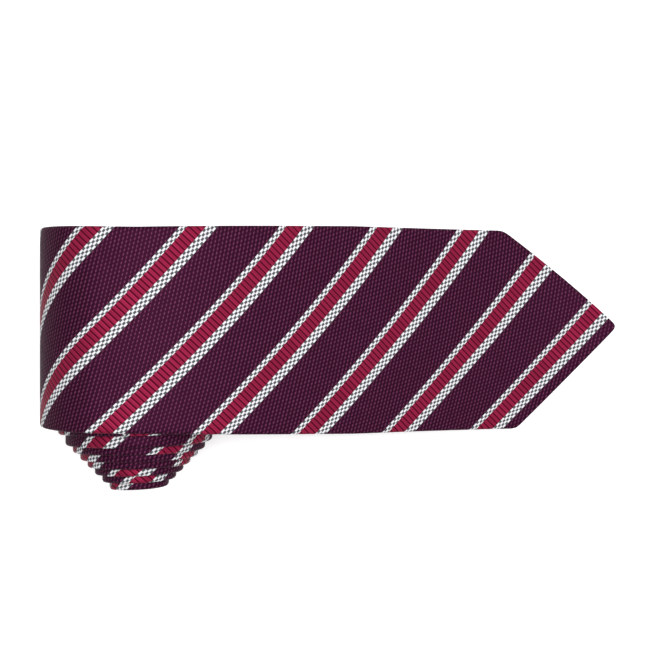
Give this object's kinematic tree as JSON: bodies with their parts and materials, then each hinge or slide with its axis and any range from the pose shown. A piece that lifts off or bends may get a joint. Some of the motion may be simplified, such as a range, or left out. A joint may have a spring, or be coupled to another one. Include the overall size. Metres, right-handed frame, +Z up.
{
  "type": "necktie",
  "caption": "Necktie rolled from its tail on a table, the pointed end of its blade laid out over the roll; striped and checked woven cloth, interlined, lined tips.",
  "frame": {"origin": "bottom centre of the rolled tie's bounding box, on the table", "axes": "+X from the roll towards the tip of the blade, +Y across the blade away from the stepped side of the roll, +Z up from the table"},
  "size_m": [0.2561, 0.1152, 0.0743],
  "materials": {
    "tie_cloth": "woven silk, plum waffle ground with crimson ribbed stripes and black and white checks",
    "interlining": "brushed wool canvas",
    "lining": "plain satin",
    "thread": "silk sewing thread",
    "label": "plain woven tape"
  },
  "bodies": {
    "roll": {"blade_shell_loose_turn": "tie_cloth", "interlining_loose_turn": "interlining", "blade_shell_turn_1": "tie_cloth", "interlining_turn_1": "interlining", "slip_stitch_outer_turn": "thread"},
    "turn_2": {"blade_shell_turn_2": "tie_cloth", "interlining_turn_2": "interlining", "slip_stitch_turn_2": "thread"},
    "turn_3": {"neck_shell_turn_3": "tie_cloth", "interlining_turn_3": "interlining", "slip_stitch_turn_3": "thread"},
    "turn_4": {"tail_shell_turn_4": "tie_cloth", "interlining_turn_4": "interlining", "slip_stitch_turn_4": "thread"},
    "turn_5": {"tail_shell_turn_5": "tie_cloth", "interlining_turn_5": "interlining", "slip_stitch_turn_5": "thread"},
    "turn_6": {"tail_shell_turn_6": "tie_cloth", "interlining_turn_6": "interlining", "slip_stitch_turn_6": "thread"},
    "turn_7": {"tail_shell_turn_7": "tie_cloth", "interlining_turn_7": "interlining", "slip_stitch_turn_7": "thread"},
    "turn_8": {"tail_shell_turn_8": "tie_cloth", "interlining_turn_8": "interlining", "slip_stitch_turn_8": "thread", "tail_lining": "lining", "tail_bar_tack": "thread"},
    "blade_upper": {"blade_shell_upper": "tie_cloth", "interlining_upper": "interlining", "slip_stitch_upper": "thread", "keeper_loop": "tie_cloth", "keeper_tack_far": "thread", "keeper_tack_near": "thread"},
    "blade_middle": {"blade_shell_middle": "tie_cloth", "interlining_middle": "interlining", "slip_stitch_middle": "thread", "blade_lining_throat": "lining", "blade_bar_tack": "thread"},
    "blade_point": {"blade_shell_point": "tie_cloth", "interlining_point": "interlining", "blade_lining_point": "lining"},
    "care_label_flap": {"care_label": "label"}
  },
  "joints": [
    {"name": "turn_2_slide", "type": "slide", "parent": "roll", "child": "turn_2", "axis": [0, 1, 0], "range_m": [-0.002, 0.0053]},
    {"name": "turn_3_slide", "type": "slide", "parent": "turn_2", "child": "turn_3", "axis": [0, 1, 0], "range_m": [-0.0013, 0.0033]},
    {"name": "turn_4_slide", "type": "slide", "parent": "turn_3", "child": "turn_4", "axis": [0, 1, 0], "range_m": [-0.0013, 0.0033]},
    {"name": "turn_5_slide", "type": "slide", "parent": "turn_4", "child": "turn_5", "axis": [0, 1, 0], "range_m": [-0.0013, 0.0033]},
    {"name": "turn_6_slide", "type": "slide", "parent": "turn_5", "child": "turn_6", "axis": [0, 1, 0], "range_m": [-0.0013, 0.0033]},
    {"name": "turn_7_slide", "type": "slide", "parent": "turn_6", "child": "turn_7", "axis": [0, 1, 0], "range_m": [-0.0013, 0.0033]},
    {"name": "turn_8_slide", "type": "slide", "parent": "turn_7", "child": "turn_8", "axis": [0, 1, 0], "range_m": [-0.0013, 0.0033]},
    {"name": "blade_lift", "type": "hinge", "parent": "roll", "child": "blade_upper", "pos_m": [-0.08131, 0.01257, 0.07384], "axis": [0, -1, 0], "range_deg": [0, 110]},
    {"name": "blade_bend", "type": "hinge", "parent": "blade_upper", "child": "blade_middle", "pos_m": [0.00833, 0.01257, 0.04114], "axis": [0, -1, 0], "range_deg": [0, 90]},
    {"name": "tip_bend", "type": "hinge", "parent": "blade_middle", "child": "blade_point", "pos_m": [0.06416, 0.01257, 0.01454], "axis": [0, -1, 0], "range_deg": [0, 80]},
    {"name": "label_flap", "type": "hinge", "parent": "blade_upper", "child": "care_label_flap", "pos_m": [-0.02259, 0.01257, 0.05298], "axis": [0, 1, 0], "range_deg": [0, 120], "stiffness_Nm_per_rad": 0.0002, "springref_deg": -5.73}
  ],
  "couplings": [
    {"joint": "turn_3_slide", "follows": "turn_2_slide", "ratio": 0.60943},
    {"joint": "turn_4_slide", "follows": "turn_2_slide", "ratio": 0.60943},
    {"joint": "turn_5_slide", "follows": "turn_2_slide", "ratio": 0.60943},
    {"joint": "turn_6_slide", "follows": "turn_2_slide", "ratio": 0.60943},
    {"joint": "turn_7_slide", "follows": "turn_2_slide", "ratio": 0.60943},
    {"joint": "turn_8_slide", "follows": "turn_2_slide", "ratio": 0.60943}
  ]
}
